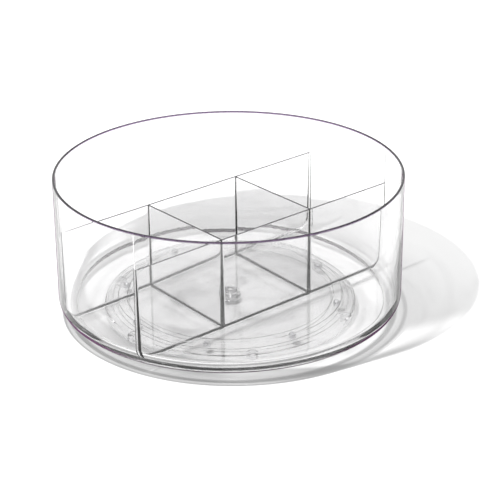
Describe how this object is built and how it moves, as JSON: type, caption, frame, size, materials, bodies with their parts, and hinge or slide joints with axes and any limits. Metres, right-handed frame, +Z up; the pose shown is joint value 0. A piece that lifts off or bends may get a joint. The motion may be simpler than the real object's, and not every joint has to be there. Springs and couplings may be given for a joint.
{
  "type": "lazy susan turntable",
  "caption": "Clear round storage bin with five moulded compartments that turns on a ring of steel balls above a small clear base disc.",
  "frame": {"origin": "on the spin axis, at the level of the pads' undersides, where the part stands on a table", "axes": "+Z up along the spin axis; +X along the two long dividers at rest"},
  "size_m": [0.292, 0.292, 0.126],
  "materials": {
    "clear_plastic": "clear, high gloss, with a faint violet tint along its edges",
    "base_plastic": "clear, high gloss",
    "bearing_steel": "polished steel",
    "screw_steel": "zinc-plated steel",
    "pad_silicone": "translucent silicone"
  },
  "bodies": {
    "base": {"base_plate": "base_plastic", "foot_pad_1": "pad_silicone", "foot_pad_2": "pad_silicone", "foot_pad_3": "pad_silicone", "foot_pad_4": "pad_silicone", "foot_pad_5": "pad_silicone", "foot_pad_6": "pad_silicone"},
    "bin": {"bin": "clear_plastic", "pivot_screw": "screw_steel", "pivot_washer": "screw_steel"},
    "ball_1": {"bearing_ball_1": "bearing_steel"},
    "ball_2": {"bearing_ball_2": "bearing_steel"},
    "ball_3": {"bearing_ball_3": "bearing_steel"},
    "ball_4": {"bearing_ball_4": "bearing_steel"},
    "ball_5": {"bearing_ball_5": "bearing_steel"},
    "ball_6": {"bearing_ball_6": "bearing_steel"},
    "ball_7": {"bearing_ball_7": "bearing_steel"},
    "ball_8": {"bearing_ball_8": "bearing_steel"}
  },
  "joints": [
    {"name": "bin_spin", "type": "hinge", "parent": "base", "child": "bin", "pos_m": [0, 0, 0.0131], "axis": [0, 0, 1], "continuous": true},
    {"name": "ball_1_roll", "type": "hinge", "parent": "base", "child": "ball_1", "pos_m": [0.09175, -0.01094, 0.01033], "axis": [-0.993, 0.1184, 0], "continuous": true},
    {"name": "ball_2_roll", "type": "hinge", "parent": "base", "child": "ball_2", "pos_m": [0.07261, 0.05714, 0.01033], "axis": [-0.7859, -0.6184, 0], "continuous": true},
    {"name": "ball_3_roll", "type": "hinge", "parent": "base", "child": "ball_3", "pos_m": [0.01094, 0.09175, 0.01033], "axis": [-0.1184, -0.993, 0], "continuous": true},
    {"name": "ball_4_roll", "type": "hinge", "parent": "base", "child": "ball_4", "pos_m": [-0.05714, 0.07261, 0.01033], "axis": [0.6184, -0.7859, 0], "continuous": true},
    {"name": "ball_5_roll", "type": "hinge", "parent": "base", "child": "ball_5", "pos_m": [-0.09175, 0.01094, 0.01033], "axis": [0.993, -0.1184, 0], "continuous": true},
    {"name": "ball_6_roll", "type": "hinge", "parent": "base", "child": "ball_6", "pos_m": [-0.07261, -0.05714, 0.01033], "axis": [0.7859, 0.6184, 0], "continuous": true},
    {"name": "ball_7_roll", "type": "hinge", "parent": "base", "child": "ball_7", "pos_m": [-0.01094, -0.09175, 0.01033], "axis": [0.1184, 0.993, 0], "continuous": true},
    {"name": "ball_8_roll", "type": "hinge", "parent": "base", "child": "ball_8", "pos_m": [0.05714, -0.07261, 0.01033], "axis": [-0.6184, 0.7859, 0], "continuous": true}
  ],
  "couplings": [
    {"joint": "ball_1_roll", "follows": "bin_spin", "ratio": 29.102},
    {"joint": "ball_2_roll", "follows": "bin_spin", "ratio": 29.102},
    {"joint": "ball_3_roll", "follows": "bin_spin", "ratio": 29.102},
    {"joint": "ball_4_roll", "follows": "bin_spin", "ratio": 29.102},
    {"joint": "ball_5_roll", "follows": "bin_spin", "ratio": 29.102},
    {"joint": "ball_6_roll", "follows": "bin_spin", "ratio": 29.102},
    {"joint": "ball_7_roll", "follows": "bin_spin", "ratio": 29.102},
    {"joint": "ball_8_roll", "follows": "bin_spin", "ratio": 29.102}
  ]
}
